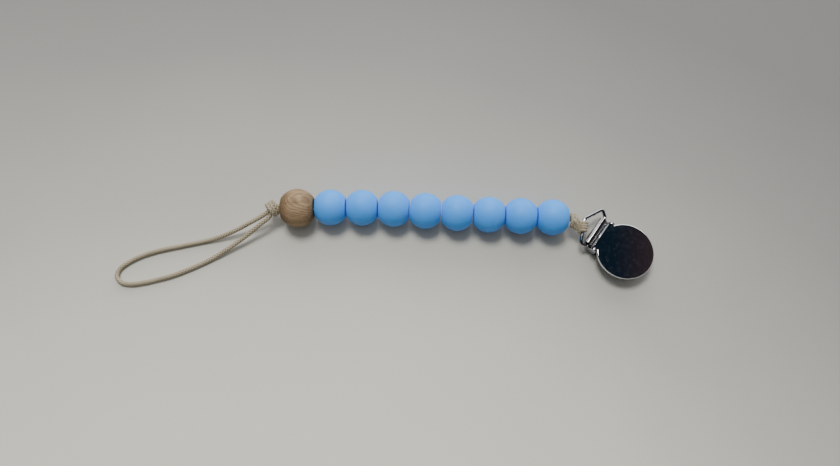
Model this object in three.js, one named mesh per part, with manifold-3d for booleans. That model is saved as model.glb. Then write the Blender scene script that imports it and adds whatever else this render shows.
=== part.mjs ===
// Beaded pacifier clip: a round-covered garment clip, a wire bail, a knotted cord strung with one
// wooden and eight silicone beads, and a cord loop that ties to the pacifier.
// Millimetres, +Z up, lying on z = 0. The origin is on the flat back of the clip, under the middle of
// its round cover; the string of beads runs towards -X and +Y points across it.
import * as THREE from 'three';
import { mergeVertices } from 'three/addons/utils/BufferGeometryUtils.js';
import Module from 'manifold-3d';

const wasm = await Module();
wasm.setup();

// ---- driving dimensions ----
const gap = 0.3; // clearance between neighbouring pieces
const rad = THREE.MathUtils.degToRad;

const beadDiameter = 15;
const beadPitch = 13.3;
const beadGap = 0.4; // slack between neighbouring beads, which lets the string bend
const beadHoleRadius = 2.1;
const beadContactRadius = 2.7;
const beadRelief = rad(4); // slope of a bead's end face outside its contact ring
const woodDiameter = 16;
const woodLength = 14.2;
const woodAside = -0.4; // side play of the wooden bead on the cord
const beadSides = 24;

const cordDiameter = 1.8;
const cordSides = 8;

// right end of the string's centre line, and each bead's lean about Z from the clip to the loop
const stringEnd = new THREE.Vector3(-22.6, 14.2, beadDiameter / 2);
const beadLeans = [-2.6, -2.6, -2.6, -3.9, -4.2, -3.5, -0.9, 0];

const clipLean = rad(-36.5);
const coverRadius = 11.8;
const coverTop = 7;
const coverSheet = 0.7;
const coverSkirt = 1.5; // height of the cover's turned-down edge
const coverFillet = 0.5;
const neckHalfWidth = 6.1;
const neckRear = -11.9;
const neckChamfer = 0.6;

const plateSheet = 0.7;
const plateFront = 8.6;
const plateRear = -12.4;
const plateHalfWidth = 6;
const bodyOffset = 0.3; // side play of the clip's body on its hinge pin
const earInner = 6.6;
const earSheet = 0.6;
const earRadius = 1.2;

const pinX = -10.6;
const pinZ = 5.5;
const pinRadius = 0.5;
const pinHole = 0.75;

const curlX = -14.2;
const curlZ = 4.9;
const curlOuter = 1.85;
const curlSheet = 0.55;
const curlHalfWidth = 6.3;
const curlAside = 0.25; // the curl's middle across the body

const wireRadius = 0.75;
const bailTilt = rad(14);

const jawSheet = 0.6;
const jawHingeX = -12.1;
const jawHingeZ = 2.5;
const lugRadius = 0.5;

// ---- materials ----
function material(color, roughness, metalness) {
  return new THREE.MeshStandardMaterial({ color, roughness, metalness });
}
const chrome = () => material(0xc9cccf, 0.08, 1);
const cotton = () => material(0xb5aa94, 0.85, 0);
const silicone = () => material(0x7fb0de, 0.6, 0);
const beech = () => material(0xa48f72, 0.65, 0);
const plastic = () => material(0xe6e6e2, 0.45, 0);

// ---- geometry helpers ----
function toSolid(geometry) {
  const bare = geometry.clone();
  bare.deleteAttribute('normal');
  bare.deleteAttribute('uv');
  const merged = mergeVertices(bare, 1e-4);
  const vertProperties = new Float32Array(merged.attributes.position.array);
  const triVerts = new Uint32Array(merged.index.array);
  return new wasm.Manifold(new wasm.Mesh({ numProp: 3, vertProperties, triVerts }));
}

function toGeometry(solid) {
  const mesh = solid.getMesh();
  const geometry = new THREE.BufferGeometry();
  geometry.setAttribute('position', new THREE.BufferAttribute(new Float32Array(mesh.vertProperties), 3));
  geometry.setIndex(new THREE.BufferAttribute(new Uint32Array(mesh.triVerts), 1));
  geometry.computeVertexNormals();
  return geometry;
}

function fuse(...geometries) {
  return toGeometry(geometries.map(toSolid).reduce((whole, next) => whole.add(next)));
}

function cut(geometry, ...tools) {
  return toGeometry(tools.map(toSolid).reduce((whole, tool) => whole.subtract(tool), toSolid(geometry)));
}

function box(x0, x1, y0, y1, z0, z1) {
  const geometry = new THREE.BoxGeometry(x1 - x0, y1 - y0, z1 - z0);
  return geometry.translate((x0 + x1) / 2, (y0 + y1) / 2, (z0 + z1) / 2);
}

// a shape drawn in X and Z, given thickness along Y between y0 and y1
function prismY(shape, y0, y1, curveSegments = 8) {
  const geometry = new THREE.ExtrudeGeometry(shape, { depth: y1 - y0, bevelEnabled: false, curveSegments });
  return geometry.rotateX(Math.PI / 2).translate(0, y1, 0);
}

// a round bar along Y
function barY(radius, x, z, y0, y1, sides = 20) {
  return new THREE.CylinderGeometry(radius, radius, y1 - y0, sides).translate(x, (y0 + y1) / 2, z);
}

function tube(path, radius, sides, steps) {
  const section = new THREE.Shape();
  for (let i = 0; i < sides; i += 1) {
    const angle = (2 * Math.PI * i) / sides;
    section[i ? 'lineTo' : 'moveTo'](radius * Math.cos(angle), radius * Math.sin(angle));
  }
  return new THREE.ExtrudeGeometry(section, { steps, extrudePath: path, bevelEnabled: false });
}

function part(name, geometry, finish) {
  const mesh = new THREE.Mesh(geometry, finish);
  mesh.name = name;
  return mesh;
}

// ---- beads ----
// a ball cut short along X, with a relieved end face and a straight hole for the cord
function beadGeometry(diameter, length) {
  const radius = diameter / 2;
  const half = length / 2;
  let rim = beadContactRadius;
  while (Math.hypot(rim, half - (rim - beadContactRadius) * Math.tan(beadRelief)) < radius) {
    rim += 0.01;
  }
  const rimAngle = Math.acos(rim / radius);
  const profile = [new THREE.Vector2(beadHoleRadius, -half), new THREE.Vector2(beadContactRadius, -half)];
  const bands = 12;
  for (let i = 0; i <= bands; i += 1) {
    const angle = rimAngle * ((2 * i) / bands - 1);
    profile.push(new THREE.Vector2(radius * Math.cos(angle), radius * Math.sin(angle)));
  }
  profile.push(new THREE.Vector2(beadContactRadius, half));
  profile.push(new THREE.Vector2(beadHoleRadius, half));
  profile.push(profile[0].clone());
  return new THREE.LatheGeometry(profile, beadSides).rotateZ(-Math.PI / 2);
}

// the two strands of the cord side by side inside a bead, along X
function coreGeometry(length) {
  const strand = 0.85;
  const outline = new THREE.Shape();
  outline.absarc(0, strand, strand, 0, Math.PI, false);
  outline.absarc(0, -strand, strand, Math.PI, 2 * Math.PI, false);
  const geometry = new THREE.ExtrudeGeometry(outline, { depth: length, bevelEnabled: false, curveSegments: 6 });
  return geometry.translate(0, 0, -length / 2).rotateY(Math.PI / 2);
}

function makeString() {
  const string = new THREE.Group();
  const count = beadLeans.length;
  const siliconeGeometry = beadGeometry(beadDiameter, beadPitch - beadGap);
  const place = (mesh, centre, lean) => {
    mesh.position.copy(centre);
    mesh.rotation.z = lean;
    string.add(mesh);
  };
  const joint = stringEnd.clone();
  beadLeans.forEach((degrees, i) => {
    const lean = rad(degrees);
    const along = new THREE.Vector3(-Math.cos(lean), -Math.sin(lean), 0);
    const centre = joint.clone().addScaledVector(along, beadPitch / 2);
    place(part(`silicone_bead_${count - i}`, siliconeGeometry.clone(), silicone()), centre, lean);
    place(part(`cord_core_${count - i}`, coreGeometry(beadPitch - beadGap), cotton()), centre, lean);
    joint.addScaledVector(along, beadPitch);
  });
  const woodCentre = new THREE.Vector3(joint.x - woodLength / 2, joint.y + woodAside, woodDiameter / 2);
  place(part('wood_bead', beadGeometry(woodDiameter, woodLength - beadGap), beech()), woodCentre, 0);
  place(part('cord_core_wood', coreGeometry(woodLength - beadGap), cotton()), woodCentre, 0);
  return string;
}

// ---- knots and loop ----
const loopKnotCentre = new THREE.Vector3(-146.3, 18.6, 7.6);
const loopKnotRadii = [2.6, 3.3, 3.1];

function makeLoopKnot() {
  const geometry = new THREE.SphereGeometry(1, 18, 12).scale(...loopKnotRadii);
  const mesh = part('loop_knot', geometry, cotton());
  mesh.position.copy(loopKnotCentre);
  return mesh;
}

// out of the knot, along the table, round the far end and back into the knot
const loopRoute = [
  [-149.4, 16.3, 7.1], [-152.3, 14.6, 6.5], [-156.2, 12.8, 5.5], [-160.4, 10.9, 4.2], [-165, 9.1, 2.9],
  [-170, 7.5, 1.7], [-175.5, 6.2, 1.0], [-181, 5.0, 0.95], [-187, 3.7, 0.95], [-193, 2.4, 0.95],
  [-198.6, 0.8, 0.95], [-203.8, -1.4, 0.95], [-207.8, -3.9, 0.95], [-210.4, -6.7, 0.95],
  [-210.6, -9.8, 0.95], [-208.2, -12.0, 0.95], [-204.6, -12.6, 0.95], [-200.2, -12.1, 0.95],
  [-195, -10.9, 0.95], [-189.4, -9.4, 0.95], [-184, -7.4, 0.95], [-178.6, -5.0, 0.95],
  [-173.2, -2.3, 1.0], [-168.2, 0.6, 1.6], [-163.4, 3.6, 2.6], [-158.8, 6.6, 3.8], [-154.8, 9.5, 5.1],
  [-151.2, 12.1, 6.3], [-148.1, 14.5, 7.0],
];

function makeLoop() {
  const path = new THREE.CatmullRomCurve3(loopRoute.map((p) => new THREE.Vector3(...p)), false, 'centripetal');
  return part('pacifier_loop', tube(path, cordDiameter / 2, cordSides, 80), cotton());
}

// ---- wire bail ----
// corners of the bail in its own plane: x away from the curl, y along the curl, base on the y axis;
// the bail lies slid across, with its lower corner against the curl's end
const bailCorners = {
  baseHigh: new THREE.Vector3(0, 8.4, 0),
  wingHigh: new THREE.Vector3(-3, 10.7, 0),
  apex: new THREE.Vector3(-7.1, 2, 0),
  wingLow: new THREE.Vector3(-2.3, -7.6, 0),
  baseLow: new THREE.Vector3(0, -6.9, 0),
};

// straight runs joined by round bends of the given reach
function bentPath(points, reaches) {
  const path = new THREE.CurvePath();
  let from = points[0];
  for (let i = 1; i < points.length - 1; i += 1) {
    const corner = points[i];
    const towards = points[i + 1].clone().sub(corner).setLength(reaches[i - 1]);
    const back = points[i - 1].clone().sub(corner).setLength(reaches[i - 1]);
    const start = corner.clone().add(back);
    const end = corner.clone().add(towards);
    path.add(new THREE.LineCurve3(from, start));
    path.add(new THREE.QuadraticBezierCurve3(start, corner, end));
    from = end;
  }
  path.add(new THREE.LineCurve3(from, points[points.length - 1]));
  return path;
}

function makeBail() {
  const wireEnds = [1.2, 0.2]; // the wire's ends meet, a slit apart, inside the curl
  const points = [
    new THREE.Vector3(0, wireEnds[0], 0), bailCorners.baseHigh, bailCorners.wingHigh, bailCorners.apex,
    bailCorners.wingLow, bailCorners.baseLow, new THREE.Vector3(0, wireEnds[1], 0),
  ];
  const path = bentPath(points, [0.9, 1.4, 1.4, 1.1, 0.9]);
  return part('bail', tube(path, wireRadius, cordSides, 76), chrome());
}

// the cord's turns round the bail's lower arm, and the knot between them and the last bead
function makeBailKnot(bail) {
  bail.updateWorldMatrix(true, false);
  const apex = bailCorners.apex.clone().applyMatrix4(bail.matrixWorld);
  const wing = bailCorners.wingLow.clone().applyMatrix4(bail.matrixWorld);
  const arm = wing.clone().sub(apex).normalize();
  const turns = { start: 1.1, length: 4.9, radius: 1.95, bore: wireRadius + gap };
  const alongArm = (geometry, distance) => {
    const upright = new THREE.Quaternion().setFromUnitVectors(new THREE.Vector3(0, 1, 0), arm);
    return geometry.applyQuaternion(upright).translate(...apex.clone().addScaledVector(arm, distance).toArray());
  };
  const middle = turns.start + turns.length / 2;
  const wraps = alongArm(new THREE.CylinderGeometry(turns.radius, turns.radius, turns.length, 20), middle);
  const bore = alongArm(new THREE.CylinderGeometry(turns.bore, turns.bore, 3 * turns.length, 16), middle);
  const knotRadius = 2.3;
  const knotEnds = [new THREE.Vector3(-19.9, 14, 6.9), new THREE.Vector3(-19.3, 9.7, 6.1)];
  const axis = knotEnds[1].clone().sub(knotEnds[0]);
  const knot = new THREE.CapsuleGeometry(knotRadius, axis.length(), 5, 16);
  const lean = new THREE.Quaternion().setFromUnitVectors(new THREE.Vector3(0, 1, 0), axis.clone().normalize());
  knot.applyQuaternion(lean).translate(...knotEnds[0].clone().add(knotEnds[1]).multiplyScalar(0.5).toArray());
  return part('bail_knot', cut(fuse(wraps, knot), bore), cotton());
}

// ---- clip body ----
// back plate, hinge ears and the curl that holds the bail's base, all one bent sheet
function clipBodyGeometry() {
  const earOuter = earInner + earSheet;
  const plate = new THREE.Shape();
  const cornerRadius = 3;
  plate.moveTo(plateRear, -earOuter);
  plate.lineTo(-9.4, -earOuter);
  plate.lineTo(-7.4, -plateHalfWidth);
  plate.lineTo(plateFront - cornerRadius, -plateHalfWidth);
  plate.absarc(plateFront - cornerRadius, cornerRadius - plateHalfWidth, cornerRadius, -Math.PI / 2, 0, false);
  plate.absarc(plateFront - cornerRadius, plateHalfWidth - cornerRadius, cornerRadius, 0, Math.PI / 2, false);
  plate.lineTo(-7.4, plateHalfWidth);
  plate.lineTo(-9.4, earOuter);
  plate.lineTo(plateRear, earOuter);
  const plateGeometry = new THREE.ExtrudeGeometry(plate, {
    depth: plateSheet, bevelEnabled: false, curveSegments: 6,
  });

  const curlInner = curlOuter - curlSheet;
  const lipAngle = rad(-20);
  const rampAngle = rad(230);
  const ramp = [
    [curlX + curlInner * Math.cos(rampAngle), curlZ + curlInner * Math.sin(rampAngle)],
    [curlX + curlOuter * Math.cos(rampAngle), curlZ + curlOuter * Math.sin(rampAngle)],
  ];
  const curl = new THREE.Shape();
  curl.absarc(curlX, curlZ, curlOuter, lipAngle, rampAngle, false);
  curl.lineTo(...ramp[1]);
  curl.lineTo(plateRear, 0);
  curl.lineTo(plateRear + 1, 0);
  curl.lineTo(plateRear + 1, plateSheet);
  curl.lineTo(plateRear + 0.2, plateSheet);
  curl.lineTo(...ramp[0]);
  curl.absarc(curlX, curlZ, curlInner, rampAngle, lipAngle, true);
  const curlGeometry = prismY(curl, curlAside - curlHalfWidth, curlAside + curlHalfWidth, 14);

  const earRear = plateRear - 0.9;
  const ear = new THREE.Shape();
  ear.moveTo(earRear, 0);
  ear.lineTo(-9.4, 0);
  ear.lineTo(pinX + earRadius, pinZ);
  ear.absarc(pinX, pinZ, earRadius, 0, rad(130), false);
  ear.lineTo(earRear, 3);
  const ears = [-1, 1].map((side) => {
    const low = side > 0 ? earInner : -earOuter;
    return prismY(ear, low, low + earSheet);
  });
  const holes = [
    barY(pinHole, pinX, pinZ, -10, 10),
    barY(lugRadius + gap, jawHingeX, jawHingeZ, -earOuter - 1, -earInner + 0.2, 16),
    barY(lugRadius + gap, jawHingeX, jawHingeZ, earInner - 0.2, earOuter + 1, 16),
  ];
  return cut(fuse(plateGeometry, curlGeometry, ...ears), ...holes);
}

// riveted hinge pin with a head outside each ear
function pinGeometry() {
  const headRadius = 1.1;
  const headInner = earInner + earSheet + 0.1;
  const headOuter = headInner + 0.5;
  const profile = [
    [0, -headOuter], [headRadius - 0.2, -headOuter], [headRadius, -headInner - 0.25], [headRadius, -headInner],
    [pinRadius, -headInner], [pinRadius, headInner], [headRadius, headInner], [headRadius, headInner + 0.25],
    [headRadius - 0.2, headOuter], [0, headOuter],
  ];
  const geometry = new THREE.LatheGeometry(profile.map((p) => new THREE.Vector2(...p)), 20);
  return geometry.translate(pinX, 0, pinZ);
}

// ---- cover lever ----
function leverGeometry() {
  const under = coverTop - coverSheet;
  const skirtBottom = coverTop - coverSkirt;
  const skirtInner = coverRadius - coverSheet;
  const profile = [[0, under], [skirtInner - 0.4, under], [skirtInner, under - 0.4], [skirtInner, skirtBottom]];
  profile.push([coverRadius, skirtBottom]);
  for (let i = 0; i <= 4; i += 1) {
    const angle = (i / 4) * (Math.PI / 2);
    const x = coverRadius - coverFillet * (1 - Math.cos(angle));
    profile.push([x, coverTop - coverFillet * (1 - Math.sin(angle))]);
  }
  profile.push([0, coverTop]);
  const dish = new THREE.LatheGeometry(profile.map((p) => new THREE.Vector2(...p)), 48).rotateX(Math.PI / 2);

  // the skirt stops short of the hinge ears
  const skirtCut = box(-coverRadius - 1, -7.5, -7.6, 7.6, skirtBottom - 1, under - 0.001);

  const neck = new THREE.Shape();
  neck.moveTo(neckRear, under);
  neck.lineTo(-9, under);
  neck.lineTo(-9, coverTop);
  neck.lineTo(neckRear + neckChamfer, coverTop);
  neck.lineTo(neckRear, coverTop - neckChamfer);
  const neckGeometry = prismY(neck, -neckHalfWidth, neckHalfWidth);

  // side flanges hang on the pin; their lower edge is the cam that presses the jaw
  const camRadius = 1.5;
  const camOffset = 0.1;
  const flange = new THREE.Shape();
  flange.moveTo(-8.9, under + 0.2);
  flange.lineTo(neckRear + 0.5, under + 0.2);
  flange.absarc(pinX + camOffset, pinZ - camOffset, camRadius, Math.PI, 1.5 * Math.PI, false);
  flange.lineTo(-9.4, pinZ - camOffset - camRadius);
  flange.lineTo(-8.9, 5.2);
  const flangeSheet = 0.6;
  const flanges = [-1, 1].map((side) => {
    const low = side > 0 ? neckHalfWidth - 0.1 - flangeSheet : -neckHalfWidth + 0.1;
    return prismY(flange, low, low + flangeSheet);
  });
  // a notch each side of the neck leaves room for the hinge ears
  const notchFront = -9.45;
  const notches = [-1, 1].map((side) => {
    const low = side > 0 ? neckHalfWidth : -neckHalfWidth - 3;
    return box(neckRear - 1, notchFront, low, low + 3, skirtBottom - 1, coverTop + 1);
  });
  // the chamfer runs straight across the neck, so it trims the round rim behind it too
  const rim = new THREE.Shape();
  rim.moveTo(neckRear, coverTop - neckChamfer);
  rim.lineTo(neckRear + neckChamfer, coverTop);
  rim.lineTo(neckRear + neckChamfer, coverTop + 1);
  rim.lineTo(neckRear - 1, coverTop + 1);
  rim.lineTo(neckRear - 1, coverTop - neckChamfer);
  const rimCut = prismY(rim, -neckHalfWidth - 1, neckHalfWidth + 1);
  const whole = fuse(cut(dish, skirtCut), neckGeometry, ...flanges);
  return cut(whole, ...notches, rimCut, barY(pinHole, pinX, pinZ, -10, 10));
}

// ---- spring jaw and grip pads ----
const jawRise = { start: -8.4, end: -6.6, low: 3, high: 3.9 };
const jawTip = 8.2;

function jawGeometry() {
  const profile = new THREE.Shape();
  profile.moveTo(jawHingeX, jawRise.low);
  profile.lineTo(jawRise.start, jawRise.low);
  profile.lineTo(jawRise.end, jawRise.high);
  profile.lineTo(jawTip, jawRise.high);
  profile.lineTo(jawTip, jawRise.high + jawSheet);
  profile.lineTo(jawRise.end - 0.2, jawRise.high + jawSheet);
  profile.lineTo(jawRise.start - 0.2, jawRise.low + jawSheet);
  profile.lineTo(jawHingeX, jawRise.low + jawSheet);
  const tail = prismY(profile, -5.4, 5.4);
  const shoulders = box(jawHingeX, jawRise.start - 0.3, -6, 6, jawRise.low, jawRise.low + jawSheet);
  const roll = barY(0.7, jawHingeX, jawHingeZ, -6.1, 6.1);
  const lugs = barY(lugRadius, jawHingeX, jawHingeZ, -earInner - earSheet, earInner + earSheet, 16);
  const corners = [-1, 1].map((side) => {
    const corner = new THREE.CylinderGeometry(4, 4, 3, 4).rotateX(Math.PI / 2);
    return corner.translate(jawTip + 2.4, side * 7.8, jawRise.high);
  });
  return cut(fuse(tail, shoulders, roll, lugs), ...corners);
}

// a plastic pad with ridges across it; up is +1 for ridges on top, -1 for ridges underneath
function padGeometry(x0, x1, z0, thickness, up) {
  const ridge = { count: 5, height: 0.3 };
  const face = z0 + up * thickness;
  const step = (x1 - x0) / ridge.count;
  const outline = new THREE.Shape();
  outline.moveTo(x0, z0);
  for (let i = 0; i < ridge.count; i += 1) {
    outline.lineTo(x0 + i * step, face);
    outline.lineTo(x0 + (i + 0.5) * step, face + up * ridge.height);
  }
  outline.lineTo(x1, face);
  outline.lineTo(x1, z0);
  return prismY(outline, -4.8, 4.8);
}

// ---- assembly ----
const group = new THREE.Group();

const clip = new THREE.Group();
clip.rotation.z = clipLean;
group.add(clip);

const body = new THREE.Group();
body.position.y = bodyOffset;
clip.add(body);
body.add(part('clip_body', clipBodyGeometry(), chrome()));
body.add(part('hinge_pin', pinGeometry(), chrome()));
body.add(part('rear_pad', padGeometry(0.6, 8, plateSheet + gap, 0.9, 1), plastic()));

clip.add(part('cover_lever', leverGeometry(), chrome()));
body.add(part('spring_jaw', jawGeometry(), chrome()));
body.add(part('front_pad', padGeometry(0.6, 7.8, jawRise.high - gap, 0.8, -1), plastic()));

const bail = makeBail();
bail.position.set(curlX, 0, curlZ);
bail.rotation.y = bailTilt;
clip.add(bail);
group.updateMatrixWorld(true);

group.add(makeBailKnot(bail));
group.add(makeString());
group.add(makeLoopKnot());
group.add(makeLoop());

export default group;
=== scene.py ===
"""Beaded pacifier clip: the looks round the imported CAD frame.

Metres, +Z up. The origin is on the clip's flat back, under the middle of its round cover, and the
string of beads runs towards -X. Shapes are worked out in millimetres and scaled as meshes are made.
"""

import math

import bmesh
import bpy
import numpy as np
from mathutils import Matrix, Vector


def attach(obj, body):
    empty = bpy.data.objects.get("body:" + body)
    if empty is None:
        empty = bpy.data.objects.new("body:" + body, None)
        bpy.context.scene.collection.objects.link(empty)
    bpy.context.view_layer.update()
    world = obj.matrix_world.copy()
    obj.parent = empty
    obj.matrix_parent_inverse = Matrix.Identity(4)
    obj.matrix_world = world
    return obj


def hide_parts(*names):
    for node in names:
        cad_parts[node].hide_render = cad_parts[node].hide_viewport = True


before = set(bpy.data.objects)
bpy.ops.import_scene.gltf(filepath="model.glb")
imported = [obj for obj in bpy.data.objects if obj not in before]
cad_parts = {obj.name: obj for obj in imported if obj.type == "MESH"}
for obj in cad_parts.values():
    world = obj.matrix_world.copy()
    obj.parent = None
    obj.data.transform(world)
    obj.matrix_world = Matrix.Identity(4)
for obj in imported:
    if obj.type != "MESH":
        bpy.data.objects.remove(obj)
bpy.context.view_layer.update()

MM = 0.001
rad = math.radians


def aim(place, target):
    """The rotation that turns a camera's or light's -Z from place to target."""
    return (Vector(target) - Vector(place)).to_track_quat("-Z", "Y").to_euler()


# ---- camera: looks steeply down from the near side, as the photograph does ----
camera_place = (-0.08465, -0.07441, 0.26001)
camera_target = (-0.08465, 0.00763, 0.0075)
camera_lens = 27.43


def make_camera():
    data = bpy.data.cameras.new("camera")
    data.sensor_width = 36
    data.lens = camera_lens
    data.clip_start = 0.01
    data.clip_end = 20
    camera = bpy.data.objects.new("camera", data)
    camera.location = camera_place
    camera.rotation_euler = aim(camera_place, camera_target)
    bpy.context.scene.collection.objects.link(camera)
    bpy.context.scene.camera = camera


make_camera()


# ---- mesh helpers ----
def mesh_object(name, vertices, faces, smooth=True, uvs=None, braid=None):
    """A mesh object from millimetre points. A cord has one uv pair and one braid height a vertex too."""
    mesh = bpy.data.meshes.new(name)
    mesh.from_pydata([tuple(MM * number for number in point) for point in vertices], [], faces)
    mesh.polygons.foreach_set("use_smooth", [smooth] * len(mesh.polygons))
    if uvs is not None:
        layer = mesh.uv_layers.new(name="UVMap")
        corners = np.zeros(len(mesh.loops), np.int32)
        mesh.loops.foreach_get("vertex_index", corners)
        layer.data.foreach_set("uv", np.asarray(uvs, np.float32)[corners].ravel())
    if braid is not None:
        attribute = mesh.attributes.new("braid", "FLOAT", "POINT")
        attribute.data.foreach_set("value", np.asarray(braid, np.float32))
    mesh.validate()
    mesh.update()
    thing = bpy.data.objects.new(name, mesh)
    bpy.context.scene.collection.objects.link(thing)
    return thing


def between(first, second, low, high, at):
    """The value at a place, where it is first at low and second at high."""
    return (high - at) / (high - low) * first + (at - low) / (high - low) * second


def catmull_rom(points, step):
    """Points about step apart on a centripetal Catmull-Rom curve through points."""
    stops = [np.array(point, float) for point in points]
    stops = [2 * stops[0] - stops[1]] + stops + [2 * stops[-1] - stops[-2]]
    curve = []
    finer = 4
    for p0, p1, p2, p3 in zip(stops, stops[1:], stops[2:], stops[3:]):
        t0 = 0.0
        t1 = t0 + np.linalg.norm(p1 - p0) ** 0.5
        t2 = t1 + np.linalg.norm(p2 - p1) ** 0.5
        t3 = t2 + np.linalg.norm(p3 - p2) ** 0.5
        pieces = max(2, int(np.linalg.norm(p2 - p1) / step * finer))
        for at in np.linspace(t1, t2, pieces, endpoint=False):
            a1 = between(p0, p1, t0, t1, at)
            a2 = between(p1, p2, t1, t2, at)
            a3 = between(p2, p3, t2, t3, at)
            b1 = between(a1, a2, t0, t2, at)
            b2 = between(a2, a3, t1, t3, at)
            curve.append(between(b1, b2, t1, t2, at))
    curve.append(stops[-2])
    return resample(np.array(curve), step)


def lengths_along(line):
    """How far along a line each of its points is."""
    return np.concatenate([[0], np.cumsum(np.linalg.norm(np.diff(line, axis=0), axis=1))])


def resample(line, step):
    """The same line with evenly spaced points."""
    lengths = lengths_along(line)
    count = max(3, int(round(lengths[-1] / step)) + 1)
    at = np.linspace(0, lengths[-1], count)
    return np.stack([np.interp(at, lengths, line[:, axis]) for axis in range(3)], axis=1)


def rings(line):
    """Side and up directions carried along a line without twist."""
    tangent = np.gradient(line, axis=0)
    tangent /= np.linalg.norm(tangent, axis=1)[:, None]
    side = np.cross(np.array((0.0, 0.0, 1.0)), tangent[0])
    side /= np.linalg.norm(side)
    sides = [side]
    for ahead in tangent[1:]:
        side = sides[-1] - ahead * np.dot(sides[-1], ahead)
        sides.append(side / np.linalg.norm(side))
    sides = np.array(sides)
    return sides, np.cross(tangent, sides)


def tube_faces(count, sides):
    """The faces of a closed tube of count rings of points."""
    faces = []
    for ring in range(count - 1):
        for side in range(sides):
            after = (side + 1) % sides
            low, high = ring * sides, (ring + 1) * sides
            faces.append((low + side, low + after, high + after, high + side))
    faces.append(tuple(range(sides - 1, -1, -1)))
    faces.append(tuple((count - 1) * sides + side for side in range(sides)))
    return faces


braid_strands = 4
braid_repeat = 1.3
braid_relief = 0.09
# how round a strand's crown is, how low it lies where it passes under, and a rounded end's last radius
strand_crown = 0.7
strand_under = 0.45
tip_radius = 0.03 ** 0.5


def braid_height(around, along):
    """Relief, 0 to 1, of a round braid: strands each way round, each passing over one and under one."""
    right = braid_strands * around + along
    left = braid_strands * around - along
    right_hump = np.sin(np.pi * np.mod(right, 1))
    left_hump = np.sin(np.pi * np.mod(left, 1))
    over = np.mod(np.floor(right) + np.floor(left), 2) < 1
    right_strand = right_hump ** strand_crown * (strand_under + (1 - strand_under) * left_hump)
    left_strand = left_hump ** strand_crown * (strand_under + (1 - strand_under) * right_hump)
    return np.where(over, right_strand, left_strand)


def braided_tube(line, radius, sides=48, taper=0.0):
    """A braided cord along line, its relief worked into the mesh and its ends rounded over taper."""
    side, up = rings(line)
    lengths = lengths_along(line)
    along, around = np.meshgrid(lengths / braid_repeat, np.arange(sides) / sides, indexing="ij")
    height = braid_height(around, along)
    reach = radius * (1 - braid_relief * (1 - height))
    if taper:
        end = np.clip(np.minimum(lengths, lengths[-1] - lengths) / taper, 0, 1)
        reach = reach * np.maximum(np.sqrt(1 - (1 - end) ** 2), tip_radius)[:, None]
    across = (np.cos(2 * np.pi * around) * reach)[..., None] * side[:, None, :]
    upward = (np.sin(2 * np.pi * around) * reach)[..., None] * up[:, None, :]
    points = line[:, None, :] + across + upward
    uvs = np.stack([along.ravel() * braid_repeat, around.ravel()], axis=1).tolist()
    return points.reshape(-1, 3).tolist(), tube_faces(len(line), sides), uvs, height.ravel().tolist()


def plain_tube(line, radius, sides):
    """A smooth round bar along line."""
    side, up = rings(line)
    angle = 2 * np.pi * np.arange(sides) / sides
    across = np.cos(angle)[None, :, None] * side[:, None, :]
    upward = np.sin(angle)[None, :, None] * up[:, None, :]
    points = line[:, None, :] + radius * (across + upward)
    return points.reshape(-1, 3).tolist(), tube_faces(len(line), sides)


def lathe(profile, segments):
    """Turns (radius, height) points about Z. Points on the axis close it."""
    vertices, faces, rows = [], [], []
    for radius, height in profile:
        if radius == 0:
            rows.append([len(vertices)])
            vertices.append((0, 0, height))
            continue
        rows.append(list(range(len(vertices), len(vertices) + segments)))
        for segment in range(segments):
            angle = 2 * math.pi * segment / segments
            vertices.append((radius * math.cos(angle), radius * math.sin(angle), height))
    for low, high in zip(rows, rows[1:]):
        for here in range(segments):
            after = (here + 1) % segments
            if len(low) == 1:
                faces.append((low[0], high[after], high[here]))
            elif len(high) == 1:
                faces.append((low[here], low[after], high[0]))
            else:
                faces.append((low[here], low[after], high[after], high[here]))
    return vertices, faces


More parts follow.
